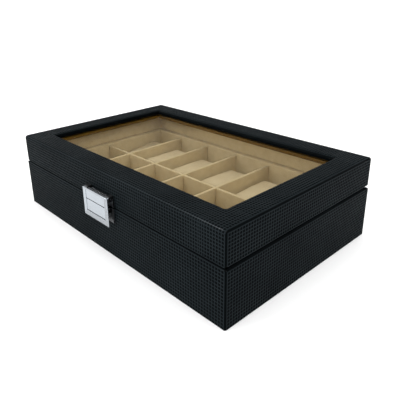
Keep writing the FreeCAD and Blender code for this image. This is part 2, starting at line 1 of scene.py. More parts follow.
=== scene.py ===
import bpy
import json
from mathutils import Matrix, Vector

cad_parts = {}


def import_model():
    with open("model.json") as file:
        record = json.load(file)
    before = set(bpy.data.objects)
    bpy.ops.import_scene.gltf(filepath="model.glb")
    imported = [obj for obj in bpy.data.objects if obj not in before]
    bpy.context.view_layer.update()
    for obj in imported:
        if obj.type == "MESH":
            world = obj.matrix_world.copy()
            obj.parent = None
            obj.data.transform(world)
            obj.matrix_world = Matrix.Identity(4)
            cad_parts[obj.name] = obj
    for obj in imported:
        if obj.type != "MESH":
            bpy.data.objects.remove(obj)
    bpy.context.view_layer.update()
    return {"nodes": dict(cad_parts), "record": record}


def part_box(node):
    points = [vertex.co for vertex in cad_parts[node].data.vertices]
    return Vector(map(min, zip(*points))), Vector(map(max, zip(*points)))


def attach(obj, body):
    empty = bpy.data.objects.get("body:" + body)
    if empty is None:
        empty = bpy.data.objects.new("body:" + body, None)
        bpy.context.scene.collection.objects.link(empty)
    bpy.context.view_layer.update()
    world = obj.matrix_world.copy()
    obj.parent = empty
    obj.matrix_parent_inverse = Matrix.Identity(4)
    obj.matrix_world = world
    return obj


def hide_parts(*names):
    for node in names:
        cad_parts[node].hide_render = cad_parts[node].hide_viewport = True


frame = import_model()

import json
import math
import random

import bmesh
import bpy
from mathutils import Matrix, Vector, noise

# A covered watch box with a glass lid. Sizes are in metres and come from the frame where it has them.
# X runs along the length, -Y is the front with the clasp, and +Z is up.

MM = 0.001
scene = bpy.context.scene
nodes = frame["nodes"]
node_body = {
    name: body for body, names in frame["record"]["behaviour"]["bodies"].items() for name in names
}

base_low, base_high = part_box("base_leather_wrap")
lid_low, lid_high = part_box("lid_leather_wrap")
glass_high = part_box("glass_panel")[1]
bead_right_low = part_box("glass_bead_right")[0]
bead_back_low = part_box("glass_bead_back")[0]
base_liner_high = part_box("base_liner_back")[1]
pin_low, pin_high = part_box("hinge_pin_right")
leaf_low, leaf_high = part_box("hinge_base_leaf_right")

# Places shared by the base and the lid.
CAVITY_X = base_liner_high.x
CAVITY_Y = base_liner_high.y
HINGE_Y = (pin_low.y + pin_high.y) / 2
HINGE_Z = (pin_low.z + pin_high.z) / 2
HINGE_X = (leaf_low.x + leaf_high.x) / 2
LEAF_GAP = 0.3 * MM
CUTOUT = (leaf_high.x - leaf_low.x) / 2 + LEAF_GAP  # half length of the covering's cut-out at a hinge
MORTISE = 2.4 * MM  # the groove for the hinge's knuckle, from the hinge line
BEVEL = math.radians(50)  # of the two back edges, from the level

# The covering: a sheet pressed all over with square dimples.
PITCH = 2.9 * MM
RIDGE = 0.42 * MM  # half the flat ridge between two dimples
SLOPE = 0.26 * MM  # how wide the slope round a dimple's floor is
DIMPLE = 0.45 * MM  # how deep
SHEET = 1.0 * MM  # the thickness that shows at a cut edge
SMALLEST_CELL = 1.5 * MM  # a narrower cell has no dimple
HEM = 13.0 * MM  # how far the sheet is turned under the bottom

# The radii of its rounded edges.
RIM_ROUND = 1.0 * MM
END_RIM_ROUND = 1.8 * MM  # the rim's at the two ends
HEM_ROUND = 0.5 * MM
BEVEL_ROUND = 0.8 * MM
TOP_ROUND = 3.0 * MM
END_ROUND = 2.6 * MM  # where the lid's top sheet rolls down at its two ends

# The covering is painted darkest, as shade in the seam, within this of the seam's middle.
SEAM_SHADE = 0.8 * MM
END_SEAM_SHADE = 1.2 * MM

# Where two sheets meet, the edge of each is rolled in by a quarter turn of this radius.
FOLD = 0.85 * MM
FOLD_ANGLES = (0, 30, 60, 90)
SHADED_DIP = 0.04 * FOLD  # the sheet is painted dark, as shade in the crease, where it lies deeper than this in such a roll

# How the sheets are divided and chosen from.
SMALL_ROUND = 0.8 * PITCH  # a round shorter than this is divided in thirds
CREST = 6  # a higher power keeps the end roll further off the lid's rounded front and back edges
MARGIN = 1.0 * MM  # past an opening, to choose what lies round it
TINY = 1e-9
CUT_SLACK = 1e-7


# ---- Materials -------------------------------------------------------------------------------------


class Shader:
    """A new material with one Principled shader, and short ways to add nodes to it."""

    def __init__(self, name, **sockets):
        self.material = bpy.data.materials.new(name)
        self.material.use_nodes = True
        self.tree = self.material.node_tree
        self.surface = self.tree.nodes["Principled BSDF"]
        for socket, value in sockets.items():
            self.surface.inputs[socket.replace("_", " ")].default_value = value

    def node(self, kind, links=(), values=(), **settings):
        made = self.tree.nodes.new(kind)
        for key, value in settings.items():
            setattr(made, key, value)
        for socket, value in dict(values).items():
            made.inputs[socket].default_value = value
        for socket, source in dict(links).items():
            self.tree.links.new(source, made.inputs[socket])
        return made

    def link(self, source, socket):
        self.tree.links.new(source, self.surface.inputs[socket])

    def noise(self, scale, detail=3.0, roughness=0.55, stretch=(1, 1, 1)):
        place = self.node("ShaderNodeTexCoord").outputs["Object"]
        mapping = self.node("ShaderNodeMapping", {"Vector": place}, {"Scale": stretch})
        values = {"Scale": scale, "Detail": detail, "Roughness": roughness}
        return self.node(
            "ShaderNodeTexNoise", {"Vector": mapping.outputs["Vector"]}, values
        ).outputs["Fac"]

    def ramp(self, source, stops):
        made = self.node("ShaderNodeValToRGB", {"Fac": source})
        for element, (position, colour) in zip(made.color_ramp.elements, stops):
            element.position = position
            element.color = (*colour, 1)
        return made.outputs["Color"]

    def spread(self, source, low, high):
        """Turns noise, which stays near its middle, into values from low to high."""
        values = {"From Min": 0.3, "From Max": 0.7, "To Min": low, "To Max": high}
        return self.node("ShaderNodeMapRange", {"Value": source}, values).outputs["Result"]

    def mean(self, first, second):
        total = self.node("ShaderNodeMath", {0: first, 1: second}, operation="ADD").outputs[0]
        return self.node("ShaderNodeMath", {0: total}, {1: 0.5}, operation="MULTIPLY").outputs[0]

    def bump(self, height, strength, distance, below=None):
        links = {"Height": height}
        if below:
            links["Normal"] = below
        made = self.node("ShaderNodeBump", links, {"Strength": strength, "Distance": distance})
        return made.outputs["Normal"]


def leather(name, dark, light, rough, gloss, coat):
    """Black coated sheet: a faint drift of tone, fine pores, and gloss that varies a little."""
    shader = Shader(name, Specular_IOR_Level=gloss, Coat_Weight=coat, Coat_Roughness=0.2)
    shader.surface.inputs["Specular Tint"].default_value = (0.80, 0.93, 1.0, 1)
    tone = shader.noise(24, 4)
    handling = shader.noise(180)
    pores = shader.noise(3200, 2)
    shader.link(shader.ramp(tone, [(0.3, dark), (0.72, light)]), "Base Color")
    shader.link(shader.spread(handling, rough - 0.05, rough + 0.07), "Roughness")
    shader.link(shader.bump(pores, 0.35, 0.05 * MM), "Normal")
    return shader.material


def velvet(name, deep, pale, nap):
    """Short-pile fabric: brushed patches over a fine pile, with a sheen at grazing angles."""
    shader = Shader(name, Roughness=0.9, Specular_IOR_Level=0.12)
    shader.surface.inputs["Sheen Weight"].default_value = 0.35
    shader.surface.inputs["Sheen Roughness"].default_value = 0.45
    shader.surface.inputs["Sheen Tint"].default_value = (*pale, 1)
    patches = shader.noise(nap, 5, 0.62)
    pile = shader.noise(5200, 2, 0.7)
    tone = shader.mean(patches, pile)
    shader.link(shader.ramp(tone, [(0.36, deep), (0.62, pale)]), "Base Color")
    brushed = shader.bump(patches, 0.25, 0.25 * MM)
    shader.link(shader.bump(pile, 0.5, 0.12 * MM, brushed), "Normal")
    return shader.material


def metal(name, colour, rough, brush):
    """Plated metal with a faint directional polish."""
    shader = Shader(name, Metallic=1.0)
    polish = shader.noise(900, 3, 0.6, brush)
    dull = [0.93 * part for part in colour]
    shader.link(shader.ramp(polish, [(0.35, dull), (0.65, colour)]), "Base Color")
    shader.link(shader.spread(polish, rough * 0.75, rough * 1.35), "Roughness")
    shader.link(shader.bump(polish, 0.06, 0.02 * MM), "Normal")
    return shader.material


def wood(name, deep, pale, grain, rough):
    """Wood fibre, drawn out along the grain."""
    shader = Shader(name, Specular_IOR_Level=0.08)
    fibre = shader.noise(420, 5, 0.65, grain)
    shader.link(shader.ramp(fibre, [(0.32, deep), (0.68, pale)]), "Base Color")
    shader.link(shader.spread(fibre, rough - 0.08, rough + 0.08), "Roughness")
    shader.link(shader.bump(fibre, 0.2, 0.1 * MM), "Normal")
    return shader.material


def clear_glass(name):
    """A thin pane, very slightly smoked, with smudges that vary its gloss."""
    shader = Shader(name, Base_Color=(0.030, 0.022, 0.008, 1), IOR=1.5, Alpha=0.08)
    smudges = shader.noise(30)
    shader.link(shader.spread(smudges, 0.01, 0.05), "Roughness")
    return shader.material


# How noise is scaled: drawn out along X or Y, the same all ways, or in fine streaks across Z or X.
ALONG_X = (0.01, 1, 1)
ALONG_Y = (1, 0.01, 1)
EVEN = (1, 1, 1)
ACROSS_Z = (1, 1, 12)
ACROSS_X = (12, 1, 1)

LEATHER_DARK = (0.0062, 0.0088, 0.0104)
LEATHER_LIGHT = (0.0102, 0.0139, 0.0158)
# Colours for the dimples, partly painted shade, and for painted shade in the creases, at the seam and
# inside the window.
DIMPLE_AND_SHADE_DARK = (0.0014, 0.0020, 0.0022)
DIMPLE_AND_SHADE_LIGHT = (0.0024, 0.0034, 0.0038)
BEAD_DEEP = (0.060, 0.028, 0.0015)
BEAD_PALE = (0.120, 0.062, 0.004)

covering = leather("covering", LEATHER_DARK, LEATHER_LIGHT, 0.50, 0.018, 0.022)
# The second covering material: darker leather in the dimples, partly painted shade, and painted shade in
# the creases, the seam and the window's inner roll.
covering_dimple_and_painted_shade = leather("covering_dimple_and_painted_shade", DIMPLE_AND_SHADE_DARK, DIMPLE_AND_SHADE_LIGHT, 0.6, 0.006, 0.0)
lining = velvet("lining", (0.530, 0.414, 0.216), (0.620, 0.500, 0.284), 130)
# Darker velvet for the dividers' tops, as painted shade.
top_lining_painted_shade = velvet("top_lining_painted_shade", (0.430, 0.336, 0.175), (0.503, 0.405, 0.230), 130)
pillow_velvet = velvet("pillow_velvet", (0.420, 0.334, 0.186), (0.490, 0.400, 0.240), 90)
felt = velvet("felt", (0.006, 0.006, 0.007), (0.014, 0.014, 0.016), 300)
chrome = metal("chrome", (0.42, 0.455, 0.49), 0.18, ACROSS_Z)
# Dark steel as painted shade on the clasp: the plate's ends, its ears' tops and the flap's barrel.
shaded_steel = metal("shaded_steel", (0.014, 0.015, 0.016), 0.55, ACROSS_X)
chrome_panel = metal("chrome_panel", (0.32, 0.342, 0.365), 0.24, ACROSS_X)
# Darker chrome for the catch plate, as painted shade under the flap.
catch_plate_shade_chrome = metal("catch_plate_shade_chrome", (0.11, 0.116, 0.122), 0.34, ACROSS_Z)
satin_chrome = metal("satin_chrome", (0.50, 0.53, 0.56), 0.36, ACROSS_Z)
groove_painted_shade = metal("groove_painted_shade", (0.012, 0.013, 0.014), 0.4, ACROSS_X)
nickel = metal("nickel", (0.56, 0.55, 0.53), 0.28, ACROSS_X)
# Near-black boards, as painted shade where a board shows through a gap at a corner.
shade_black_board = wood("shade_black_board", (0.0028, 0.0026, 0.0024), (0.0070, 0.0062, 0.0056), EVEN, 0.8)
bead_along_x = wood("bead_along_x", BEAD_DEEP, BEAD_PALE, ALONG_X, 0.6)
bead_along_y = wood("bead_along_y", BEAD_DEEP, BEAD_PALE, ALONG_Y, 0.6)
glass = clear_glass("window_glass")


# ---- Pieces from meshes ----------------------------------------------------------------------------


def piece_from(bm, name, materials, body, replaced):
    """Turns a bmesh into a smooth piece that rides on a body and stands for the CAD nodes given."""
    mesh = bpy.data.meshes.new(name)
    bm.to_mesh(mesh)
    bm.free()
    for material in materials:
        mesh.materials.append(material)
    mesh.polygons.foreach_set("use_smooth", [True] * len(mesh.polygons))
    piece = bpy.data.objects.new(name, mesh)
    scene.collection.objects.link(piece)
    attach(piece, body)
    if replaced:
        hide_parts(*replaced)
    return piece


WELD = 0.001 * MM
FLAT = math.radians(1)  # faces that meet at less than this are one face
ROUNDED = math.radians(35)  # edges that turn more than this are rounded
SHARP = math.radians(50)  # and edges that turn more than this afterwards stay sharp


def is_upright(edge):
    return abs((edge.verts[0].co - edge.verts[1].co).normalized().z) >= 0.5


def softened(node, radius, material, segments=3, upright=True):
    """The CAD node's own shape with its sharp edges rounded, as a covered or plated piece has them.

    upright=False leaves the upright edges sharp, where the piece meets the next one at a corner."""
    bm = bmesh.new()
    bm.from_mesh(nodes[node].data)
    bmesh.ops.remove_doubles(bm, verts=bm.verts, dist=WELD)
    bmesh.ops.dissolve_limit(bm, angle_limit=FLAT, verts=bm.verts, edges=bm.edges)
    turned = [edge for edge in bm.edges if edge.calc_face_angle(0) > ROUNDED]
    if not upright:
        turned = [edge for edge in turned if not is_upright(edge)]
    bmesh.ops.bevel(
        bm,
        geom=turned,
        offset=radius,
        segments=segments,
        profile=0.5,
        affect="EDGES",
        clamp_overlap=True,
        harden_normals=False,
    )
    for edge in bm.edges:
        edge.smooth = edge.calc_face_angle(0) < SHARP
    piece = piece_from(bm, f"{node}_visible", [material], node_body[node], [node])
    weighted = piece.modifiers.new("weighted_normals", "WEIGHTED_NORMAL")
    weighted.keep_sharp = True
    return piece


def refinish(piece, material, chosen):
    """Gives another material to the faces that are chosen by their middle and normal."""
    piece.data.materials.append(material)
    last = len(piece.data.materials) - 1
    for face in piece.data.polygons:
        if chosen(face.center, face.normal):
            face.material_index = last


# ---- The covering ----------------------------------------------------------------------------------


class Path:
    """A line through corner points (across, z, radius), rounded at each and followed by its length."""

    def __init__(self, corners):
        points = [Vector(corner[:2]) for corner in corners]
        self.pieces = []
        self.breaks = [0.0]
        place = points[0]
        for corner, after, spec in zip(points[1:-1], points[2:], corners[1:-1]):
            incoming = (corner - place).normalized()
            outgoing = (after - corner).normalized()
            turn = math.atan2(incoming.cross(outgoing), incoming.dot(outgoing))
            setback = spec[2] * math.tan(abs(turn) / 2)
            self.add(place, incoming, 0.0, (corner - incoming * setback - place).length)
            self.add(corner - incoming * setback, incoming, turn, spec[2] * abs(turn))
            place = corner + outgoing * setback
        self.add(place, (points[-1] - place).normalized(), 0.0, (points[-1] - place).length)

    def add(self, start, heading, turn, length):
        self.pieces.append((start, heading, turn, length))
        self.breaks.append(self.breaks[-1] + length)

    def at(self, distance):
        """Place and outward normal; the outside is on the left of the way along."""
        for begin, (start, heading, turn, length) in zip(self.breaks, self.pieces):
            if distance <= begin + length + TINY:
                break
        part = distance - begin
        outward = Vector((-heading.y, heading.x))
        if not turn:
            return start + heading * part, outward
        radius = length / turn
        angle = part / radius
        normal = outward * math.cos(angle) - heading * math.sin(angle)
        return start + outward * radius - normal * radius, normal

    def rows(self, extra=()):
        """Where the rows of cells meet: small rounds in thirds, the rest by the pitch."""
        found = [0.0]
        stops = sorted([*self.breaks, *extra])
        for low, high in zip(stops, stops[1:]):
            small = high - low < SMALL_ROUND and any(
                piece[2] and abs(begin - low) < TINY for begin, piece in zip(self.breaks, self.pieces)
            )
            found += shared(low, high, 3 if small else max(1, round((high - low) / PITCH)))
        return found


def shared(low, high, count):
    """Equal steps after low, up to high."""
    return [low + (high - low) * step / count for step in range(1, count + 1)]


def columns(half_breaks):
    """Where the columns of cells meet, the same on both sides of the middle."""
    breaks = [-value for value in reversed(half_breaks)] + list(half_breaks)
    found = [breaks[0]]
    for low, high in zip(breaks, breaks[1:]):
        found += shared(low, high, max(1, round((high - low) / PITCH)))
    return found


def folded(half, breaks=()):
    """Columns for a sheet whose two ends are rolled in at the corners."""
    rolls = [half - FOLD * (2 - math.sin(math.radians(angle))) for angle in FOLD_ANGLES]
    inner = columns([*breaks, rolls[0]])
    return [-place for place in reversed(rolls[1:])] + inner + rolls[1:]


def pressed_sheet(across, along, keep):
    """A flat sheet with dimples in its cells. keep drops cells by their middle, as at a window.

    The dimples' floors and slopes take the second, darker material: partly the dimples' own darker tone,
    partly painted shade in them."""
    bm = bmesh.new()
    grid = [[bm.verts.new((s, t, 0)) for t in along] for s in across]
    cells = []
    for i in range(len(across) - 1):
        for j in range(len(along) - 1):
            if not keep((across[i] + across[i + 1]) / 2, (along[j] + along[j + 1]) / 2):
                continue
            face = bm.faces.new((grid[i][j], grid[i + 1][j], grid[i + 1][j + 1], grid[i][j + 1]))
            if min(across[i + 1] - across[i], along[j + 1] - along[j]) > SMALLEST_CELL:
                cells.append(face)
    loose = [vert for vert in bm.verts if not vert.link_faces]
    bmesh.ops.delete(bm, geom=loose, context="VERTS")
    bm.normal_update()
    bmesh.ops.inset_individual(bm, faces=cells, thickness=RIDGE, use_even_offset=True)
    slopes = bmesh.ops.inset_individual(
        bm, faces=cells, thickness=SLOPE, depth=-DIMPLE, use_even_offset=True
    )["faces"]
    for face in [*cells, *slopes]:
        face.material_index = 1
    return bm


def turn_in(bm, chosen):
    """Gives the sheet's thickness to the open edges whose middle is chosen."""
    edges = []
    for edge in bm.edges:
        middle = (edge.verts[0].co + edge.verts[1].co) / 2
        if edge.is_boundary and chosen(middle.x, middle.y):
            edges.append(edge)
    made = bmesh.ops.extrude_edge_only(bm, edges=edges)
    for item in made["geom"]:
        if isinstance(item, bmesh.types.BMVert):
            item.co.z -= SHEET


def rolled(past, radius):
    """How far a quarter-round edge has dropped, at a distance past where it starts."""
    return 0.0 if past <= 0 else radius - math.sqrt(max(radius**2 - past**2, 0.0))


def fold(distance):
    """How deep a sheet lies at a distance from the corner where it meets the next one."""
    return rolled(2 * FOLD - max(distance, FOLD), FOLD)


def wrap(bm, surface):
    """Bends the flat sheet: surface gives the place, the normal and the fold's depth at (s, t).

    What is rolled in at a corner takes the darker material, as painted shade in the crease."""
    for face in bm.faces:
        middle = face.calc_center_median()
        if surface(middle.x, middle.y)[2] > SHADED_DIP:
            face.material_index = 1
    for vert in bm.verts:
        place, normal, dip = surface(vert.co.x, vert.co.y)
        vert.co = place + normal * (vert.co.z - dip)


def everywhere(*_):
    return True


def trim(bm, point, normal, where=everywhere):
    """Cuts away what lies beyond a plane, among the faces whose middle is chosen.

    The edges and corners are listed in the same order on every run, so that the mesh is the same too."""
    faces = [face for face in bm.faces if where(face.calc_center_median())]
    edges = dict.fromkeys(edge for face in faces for edge in face.edges)
    verts = dict.fromkeys(vert for face in faces for vert in face.verts)
    bmesh.ops.bisect_plane(
        bm,
        geom=[*verts, *edges, *faces],
        dist=CUT_SLACK,
        plane_co=point,
        plane_no=normal,
        clear_outer=True,
    )


def front(along, out, z):
    return Vector((along, -out, z))


def back(along, out, z):
    return Vector((-along, out, z))


def right(along, out, z):
    return Vector((out, along, z))


def left(along, out, z):
    return Vector((-out, -along, z))


def mitre(bm, half_x, half_y, trimmed, where=everywhere):
    """Cuts a sheet at 45 degrees at the upright corners it reaches. trimmed is the axis it runs along."""
    for x, y in ((-1, -1), (-1, 1), (1, -1), (1, 1)):
        normal = Vector((x, -y, 0)) if trimmed == "x" else Vector((-x, y, 0))
        near = Vector((x * half_x, y * half_y, 0))
        trim(
            bm,
            near,
            normal.normalized(),
            lambda middle: middle.x * x > 0 and middle.y * y > 0 and where(middle),
        )


def rim_ends(out, inner, rim, up, round_at_wall=RIM_ROUND):
    """A rim's outline from its inner edge to the wall. up is 1 on the base and -1 on the lid."""
    return [(inner, rim - up * HEM_ROUND, 0), (inner, rim, HEM_ROUND), (out, rim, round_at_wall)]


def bevelled_ends(out, inner, rim, up):
    """The same at the back, where the edge is bevelled from the hinge line outwards."""
    drop = (out - HINGE_Y) * math.tan(BEVEL)
    return rim_ends(HINGE_Y, inner, rim, up, BEVEL_ROUND) + [(out, rim - up * drop, RIM_ROUND)]


def not_cut_out(path, groove):
    """A test that drops the cells where the hinges are let in: the rim, and the bevel up to a depth."""
    return lambda s, t: not (abs(abs(s) - HINGE_X) < CUTOUT and path.breaks[1] < t < groove)


def wall_sheet(path, across, side, half, corner, groove=None):
    """One wall's covering. groove is how far along the path the hinge's cut-out reaches."""
    keep = not_cut_out(path, groove) if groove else everywhere
    bm = pressed_sheet(across, path.rows([groove] if groove else []), keep)
    if groove:
        turn_in(bm, lambda s, t: abs(abs(s) - HINGE_X) < CUTOUT + MARGIN and t < groove + MARGIN)

    def surface(s, t):
        place, normal = path.at(t)
        inset = corner - place.x - FOLD if abs(normal.y) > 0.5 else 0.0
        dip = fold(half - abs(s) - inset)
        return side(s, place.x, place.y), side(0, normal.x, normal.y), dip

    wrap(bm, surface)
    bmesh.ops.reverse_faces(bm, faces=bm.faces)
    return bm


def join(whole, bm):
    """Adds one bmesh to another."""
    mesh = bpy.data.meshes.new("part")
    bm.to_mesh(mesh)
    bm.free()
    whole.from_mesh(mesh)
    bpy.data.meshes.remove(mesh)


def back_cut(bm, rim, up):
    """Trims a side wall at the bevelled back edge."""
    normal = Vector((0, math.sin(BEVEL), up * math.cos(BEVEL)))
    trim(bm, Vector((0, HINGE_Y, rim)), normal)


def base_covering():
    """Four walls, each turned over the rim and under the bottom, mitred and folded at the corners."""
    x, y, rim, low = base_high.x, base_high.y, base_high.z, base_low.z
    whole = bmesh.new()
    plain = folded(x)
    hinged = folded(x, [HINGE_X - CUTOUT, HINGE_X + CUTOUT])

    bottom_y = [(y, low, HEM_ROUND), (y - HEM, low, 0)]
    front_sheet = wall_sheet(Path(rim_ends(y, CAVITY_Y, rim, 1) + bottom_y), plain, front, x, y)
    mitre(front_sheet, x, y, "x")
    join(whole, front_sheet)

    back_path = Path(bevelled_ends(y, CAVITY_Y, rim, 1) + bottom_y)
    groove = back_path.breaks[4] + MORTISE  # the bevel starts at the fourth break
    back_sheet = wall_sheet(back_path, hinged, back, x, y, groove)
    mitre(back_sheet, x, y, "x", lambda middle: middle.y < HINGE_Y)
    join(whole, back_sheet)

    bottom_x = [(x, low, HEM_ROUND), (x - HEM, low, 0)]
    side_path = Path(rim_ends(x, CAVITY_X, rim, 1, END_RIM_ROUND) + bottom_x)
    for side in (right, left):
        sheet = wall_sheet(side_path, folded(y), side, y, x)
        mitre(sheet, x, y, "y")
        back_cut(sheet, rim, 1)
        join(whole, sheet)
    covering_piece(whole, "base_covering", "base", "base_leather_wrap")


def covering_piece(bm, name, body, node):
    """The finished covering. Its edges at the seam and inside the window take the darker material, as
    painted shade.
    """
    for face in bm.faces:
        middle = face.calc_center_median()
        from_seam = abs(middle.z - HINGE_Z)
        at_end = abs(middle.x) > lid_high.x - END_RIM_ROUND and from_seam < END_SEAM_SHADE
        at_wall = abs(middle.y) > lid_high.y - RIM_ROUND and from_seam < SEAM_SHADE
        over_opening = (
            abs(middle.x) < bead_right_low.x + MARGIN and abs(middle.y) < bead_back_low.y + MARGIN
        )
        # Painted shade: the seam's edges, and the lowest part of the window's roll below the glass's top.
        if at_end or at_wall or (over_opening and middle.z > glass_high.z):
            face.material_index = 1
    piece_from(bm, name, [covering, covering_dimple_and_painted_shade], body, [node])


class WindowEdge:
    """How the lid's top sheet rolls down into the window, with rounded corners.

    The sheet lies flat in (x, y). A ring is a loop round the window, and its reach is how far past the
    start of the roll it lies. Each ring keeps its length along the sides and is bent round the corners."""

    ROLL = 3.0 * MM
    CORNER = 1.8 * MM  # radius of the window's corners
    SETTLE = 9.0 * MM  # beyond this, the rings are plain rectangles again
    SLACK = 4.0 * MM  # of straight side that shares in the bending of a corner

    def __init__(self, half_x, half_y, depth):
        self.start_x = half_x + self.ROLL
        self.start_y = half_y + self.ROLL
        self.arc = self.ROLL * math.pi / 2
        self.reach = self.arc + depth - self.ROLL

    def hole(self, s, y):
        return abs(s) < self.start_x - self.reach and abs(y) < self.start_y - self.reach

    def breaks(self, start):
        return [start - self.reach, start - self.arc, start]

    def bend(self, s, y):
        """Place on the top, drop below it, outward direction across the ring and turn of the roll."""
        reach = min(self.start_x - abs(s), self.start_y - abs(y))
        angle = min(max(reach, 0.0), self.arc) / self.ROLL
        inward = reach if reach < 0 else self.ROLL * math.sin(angle)
        drop = self.ROLL * (1 - math.cos(angle)) + max(reach - self.arc, 0.0)
        settled = min(max(-reach, 0.0) / self.SETTLE, 1.0)
        radius = self.CORNER * (1 - settled)
        corner = Vector((self.start_x - inward, self.start_y - inward))
        on_side = self.start_x - abs(s) < self.start_y - abs(y)
        along, start, end = abs(s), self.start_x, corner.x
        if on_side:
            along, start, end = abs(y), self.start_y, corner.y
        limit = start - reach
        first = start - self.reach - self.SLACK
        turned = 0.0
        if along > first:
            straight = end - radius - first
            total = straight + radius * math.pi / 4
            distance = (along - first) / (limit - first) * total
            if distance > straight and radius > 0:
                turned = (distance - straight) / radius
                along = first + straight + radius * math.sin(turned)
            else:
                along = first + distance
        depth_in = radius * (1 - math.cos(turned))
        place = Vector((along, corner.y - depth_in))
        across = Vector((math.sin(turned), math.cos(turned)))
        if on_side:
            place = Vector((corner.x - depth_in, along))
            across = Vector((math.cos(turned), math.sin(turned)))
        signs = Vector((math.copysign(1, s), math.copysign(1, y)))
        return place * signs, drop, across * signs, angle


def lid_covering():
    """One sheet over the front, the top and the back, rolled into the window, and two end panels."""
    x, y, top, rim = lid_high.x, lid_high.y, lid_high.z, lid_low.z
    window = WindowEdge(bead_right_low.x, bead_back_low.y, top - glass_high.z)
    front_half = [(-out, z, r) for out, z, r in rim_ends(y, CAVITY_Y, rim, -1)]
    back_half = bevelled_ends(y, CAVITY_Y, rim, -1)[::-1]
    back_half[-1] = (back_half[-1][0], back_half[-1][1], 0)
    path = Path(front_half + [(-y, top, TOP_ROUND), (y, top, TOP_ROUND)] + back_half)
    top_start, top_end = path.breaks[6:8]
    top_low = -y + TOP_ROUND
    groove = path.breaks[11] - MORTISE  # the bevel ends at the eleventh break
    rows = []
    for value in window.breaks(window.start_y):
        rows += [top_start - value - top_low, top_start + value - top_low]
    across = folded(x, [HINGE_X - CUTOUT, HINGE_X + CUTOUT, *window.breaks(window.start_x)])

    def keep(s, t):
        if top_start < t < top_end and window.hole(s, t - top_start + top_low):
            return False
        return not (abs(abs(s) - HINGE_X) < CUTOUT and groove < t < path.breaks[-2])

    def surface(s, t):
        place, normal = path.at(t)
        from_end = x - abs(s)
        inset = y - abs(place.x) - FOLD if normal.y < -0.5 else 0.0
        dip = fold(from_end - inset)
        place = place - normal * rolled(END_ROUND - from_end, END_ROUND) * max(normal.y, 0.0) ** CREST
        if not top_start < t < top_end:
            return Vector((s, place.x, place.y)), Vector((0, normal.x, normal.y)), dip
        flat, drop, across_ring, angle = window.bend(s, place.x)
        tilted = across_ring * -math.sin(angle)
        place = Vector((flat.x, flat.y, place.y - drop))
        return place, Vector((tilted.x, tilted.y, math.cos(angle))), dip

    whole = pressed_sheet(across, path.rows(rows), keep)
    turn_in(whole, lambda s, t: abs(abs(s) - HINGE_X) < CUTOUT + MARGIN and t > groove - MARGIN)
    wrap(whole, surface)
    rim_top = rim + 0.6 * RIM_ROUND  # below this lies what is turned in under the rim
    mitre(whole, x, y, "x", lambda middle: middle.z < rim_top and abs(middle.y) < HINGE_Y)

    end_top = top - rolled(END_ROUND - FOLD, END_ROUND)
    side_path = Path([(x, end_top, 0), *rim_ends(x, CAVITY_X, rim, -1, END_RIM_ROUND)[::-1]])
    for side in (right, left):
        sheet = end_panel(side_path, side, y, x)
        mitre(sheet, x, y, "y")
        back_cut(sheet, rim, -1)
        join(whole, sheet)
    covering_piece(whole, "lid_covering", "lid", "lid_leather_wrap")


def end_panel(path, side, half, corner):
    """The covering of one end of the lid, with a fold along its top edge too."""
    top_fold = [FOLD * (2 - math.sin(math.radians(angle))) for angle in FOLD_ANGLES]
    rows = [place for place in path.rows([top_fold[0]]) if place >= top_fold[0]]
    bm = pressed_sheet(folded(half), top_fold[:0:-1] + rows, everywhere)

    def surface(s, t):
        place, normal = path.at(t)
        inset = corner - place.x - FOLD if normal.y < -0.5 else 0.0
        dip = max(fold(half - abs(s) - inset), fold(t))
        return side(s, place.x, place.y), side(0, normal.x, normal.y), dip

    wrap(bm, surface)
    bmesh.ops.reverse_faces(bm, faces=bm.faces)
    return bm


base_covering()
lid_covering()


# ---- Boards, lining, strips and metal --------------------------------------------------------------


def dress(names, material):
    """Gives CAD nodes a material."""
    for name in names:
        for place in nodes[name].material_slots:
            place.material = material


SIDES = ("front", "back", "left", "right")
BOARDS = ["bottom_panel", "lid_top_frame"]
for side in SIDES:
    BOARDS += [f"base_{side}_wall", f"lid_{side}_wall"]
# The boards are painted near black, as shade where one shows through a gap at a corner.
dress(BOARDS, shade_black_board)
dress(["glass_panel"], glass)
dress(["hinge_pin_left", "hinge_pin_right", "hinge_base_screws", "hinge_lid_screws"], nickel)
dress(["clasp_pin", "clasp_plate_nails", "clasp_catch_nails"], chrome)

for side in SIDES:
    softened(f"base_liner_{side}", 0.9 * MM, lining, upright=False)
    softened(f"lid_liner_{side}", 0.3 * MM, lining, upright=False)
    wood_grain = bead_along_x if side in ("front", "back") else bead_along_y
    softened(f"glass_bead_{side}", 0.4 * MM, wood_grain, 2)
softened("floor_pad", 0.5 * MM, lining)
softened("underside_felt", 0.3 * MM, felt)

# The dividers' tops take a darker velvet: painted shade that tones down the light they catch.
for name in ["long_divider"] + [f"cross_divider_{number}" for number in range(1, 6)]:
    divider = softened(name, 0.9 * MM, lining)
    refinish(divider, top_lining_painted_shade, lambda place, normal: normal.z > 0.6)

for side in ("left", "right"):
    softened(f"hinge_base_leaf_{side}", 0.15 * MM, nickel, 2)
    softened(f"hinge_lid_leaf_{side}", 0.15 * MM, nickel, 2)
# The catch plate is painted dark, as shade under the flap.
softened("clasp_catch_plate", 0.14 * MM, catch_plate_shade_chrome, 2)

# The lid's plate is painted dark, as shade, on its ends and on the tops of its rolled ears.
plate = softened("clasp_lid_plate", 0.14 * MM, satin_chrome, 2)
refinish(plate, shaded_steel, lambda place, normal: abs(normal.x) > 0.9 or normal.z > 0.5)

